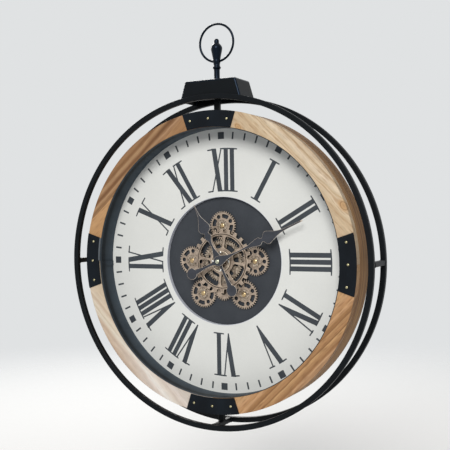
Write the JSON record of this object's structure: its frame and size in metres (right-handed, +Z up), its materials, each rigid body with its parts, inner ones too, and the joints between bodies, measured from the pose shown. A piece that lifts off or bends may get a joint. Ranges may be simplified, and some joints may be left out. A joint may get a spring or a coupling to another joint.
{
  "type": "gear wall clock",
  "caption": "Round wall clock with two open steel hoops, a wooden rim, a deep dial with a window onto turning gears, spade hands, and a crown block with a finial and pendant ring.",
  "frame": {"origin": "top of the keyhole in the hanger plate behind the crown block, on the wall plane", "axes": "+Z up, -Y out of the dial towards the viewer, +Y into the wall, +X to the viewer's right"},
  "size_m": [0.6, 0.0778, 0.7326],
  "materials": {
    "black_steel": "satin powder coat",
    "plate_steel": "satin paint",
    "pale_brass": "pale plated",
    "wood_pale_knotty": "pale pine, matt",
    "wood_orange": "orange brown stripes, matt",
    "wood_bleached": "very pale, matt",
    "wood_striped": "brown stripes, matt",
    "side_wood": "grey brown veneer",
    "liner_paint": "blue grey matt",
    "dial_card": "off-white printed board",
    "disc_paint": "dark grey matt",
    "antique_bronze": "antique bronze",
    "gold_cap": "golden, satin",
    "silver": "plated",
    "hand_paint": "dark grey, copper edges",
    "black_plastic": "moulded",
    "hardboard": "raw hardboard",
    "cell_jacket": "plain jacket"
  },
  "bodies": {
    "frame": {"back_hoop": "black_steel", "front_hoop": "black_steel", "cross_bar_right": "black_steel", "cross_bar_left": "black_steel", "cross_bar_bottom": "black_steel", "post_bottom": "black_steel", "post_top": "black_steel", "wood_upper_right": "wood_pale_knotty", "wood_upper_left": "wood_orange", "wood_lower_left": "wood_bleached", "wood_lower_right": "wood_striped", "case_side": "side_wood", "rim_liner": "liner_paint", "dial_board": "dial_card", "back_board": "hardboard", "sunk_disc": "disc_paint", "plate_right": "plate_steel", "plate_top": "plate_steel", "plate_left": "plate_steel", "plate_bottom": "plate_steel", "pin_right_1": "pale_brass", "pin_right_2": "pale_brass", "pin_right_3": "pale_brass", "pin_top_1": "pale_brass", "pin_top_2": "pale_brass", "pin_top_3": "pale_brass", "pin_left_1": "pale_brass", "pin_left_2": "pale_brass", "pin_left_3": "pale_brass", "pin_bottom_1": "pale_brass", "pin_bottom_2": "pale_brass", "pin_bottom_3": "pale_brass", "crown_block": "black_steel", "hanger_plate": "silver", "finial": "black_steel", "stud_right": "gold_cap", "stud_top": "gold_cap", "stud_left": "gold_cap", "stud_lower_right": "gold_cap", "stud_lower_left": "gold_cap", "centre_tube": "gold_cap", "front_bridge": "antique_bronze", "time_movement": "black_plastic", "time_cell": "cell_jacket", "gear_motor_unit": "black_plastic", "gear_cell": "cell_jacket"},
    "minute": {"minute_hand": "hand_paint", "hand_nut": "pale_brass"},
    "hour": {"hour_hand": "hand_paint"},
    "setting": {"set_knob": "black_plastic"},
    "centre_gears": {"coarse_gear": "antique_bronze", "sun_gear": "antique_bronze"},
    "satellite_right": {"satellite_right": "antique_bronze"},
    "satellite_top": {"satellite_top": "antique_bronze"},
    "satellite_left": {"satellite_left": "antique_bronze"},
    "satellite_lower_right": {"satellite_lower_right": "antique_bronze"},
    "satellite_lower_left": {"satellite_lower_left": "antique_bronze"},
    "pinion": {"drive_pinion": "antique_bronze"},
    "pendant_ring": {"pendant_ring": "black_steel"},
    "battery_door": {"battery_door": "black_plastic"}
  },
  "joints": [
    {"name": "minute_turn", "type": "hinge", "parent": "frame", "child": "minute", "pos_m": [0, -0.0474, -0.3173], "axis": [0, 1, 0], "continuous": true},
    {"name": "hour_turn", "type": "hinge", "parent": "frame", "child": "hour", "pos_m": [0, -0.0424, -0.3173], "axis": [0, 1, 0], "continuous": true},
    {"name": "setting_turn", "type": "hinge", "parent": "frame", "child": "setting", "pos_m": [0, -0.0015, -0.3043], "axis": [0, 1, 0], "continuous": true},
    {"name": "centre_gears_turn", "type": "hinge", "parent": "frame", "child": "centre_gears", "pos_m": [0, -0.027, -0.3173], "axis": [0, 1, 0], "continuous": true},
    {"name": "satellite_right_turn", "type": "hinge", "parent": "frame", "child": "satellite_right", "pos_m": [0.06491, -0.0239, -0.3173], "axis": [0, 1, 0], "continuous": true},
    {"name": "satellite_top_turn", "type": "hinge", "parent": "frame", "child": "satellite_top", "pos_m": [0, -0.0239, -0.25239], "axis": [0, 1, 0], "continuous": true},
    {"name": "satellite_left_turn", "type": "hinge", "parent": "frame", "child": "satellite_left", "pos_m": [-0.06491, -0.0239, -0.3173], "axis": [0, 1, 0], "continuous": true},
    {"name": "satellite_lower_right_turn", "type": "hinge", "parent": "frame", "child": "satellite_lower_right", "pos_m": [0.0419, -0.0239, -0.37792], "axis": [0, 1, 0], "continuous": true},
    {"name": "satellite_lower_left_turn", "type": "hinge", "parent": "frame", "child": "satellite_lower_left", "pos_m": [-0.0419, -0.0239, -0.37792], "axis": [0, 1, 0], "continuous": true},
    {"name": "pinion_turn", "type": "hinge", "parent": "frame", "child": "pinion", "pos_m": [0, -0.0239, -0.37298], "axis": [0, 1, 0], "continuous": true},
    {"name": "pendant_swing", "type": "hinge", "parent": "frame", "child": "pendant_ring", "pos_m": [0, -0.0389, 0.0452], "axis": [1, 0, 0], "range_deg": [-32, 136]},
    {"name": "battery_door_slide", "type": "slide", "parent": "frame", "child": "battery_door", "axis": [1, 0, 0], "range_m": [0, 0.03]}
  ],
  "couplings": [
    {"joint": "hour_turn", "follows": "minute_turn", "ratio": 0.083333},
    {"joint": "setting_turn", "follows": "minute_turn", "ratio": 1},
    {"joint": "satellite_right_turn", "follows": "centre_gears_turn", "ratio": -1.5278},
    {"joint": "satellite_top_turn", "follows": "centre_gears_turn", "ratio": -1.5278},
    {"joint": "satellite_left_turn", "follows": "centre_gears_turn", "ratio": -1.5278},
    {"joint": "pinion_turn", "follows": "centre_gears_turn", "ratio": -2.3913},
    {"joint": "satellite_lower_right_turn", "follows": "centre_gears_turn", "ratio": 1.5278},
    {"joint": "satellite_lower_left_turn", "follows": "centre_gears_turn", "ratio": 1.5278}
  ]
}
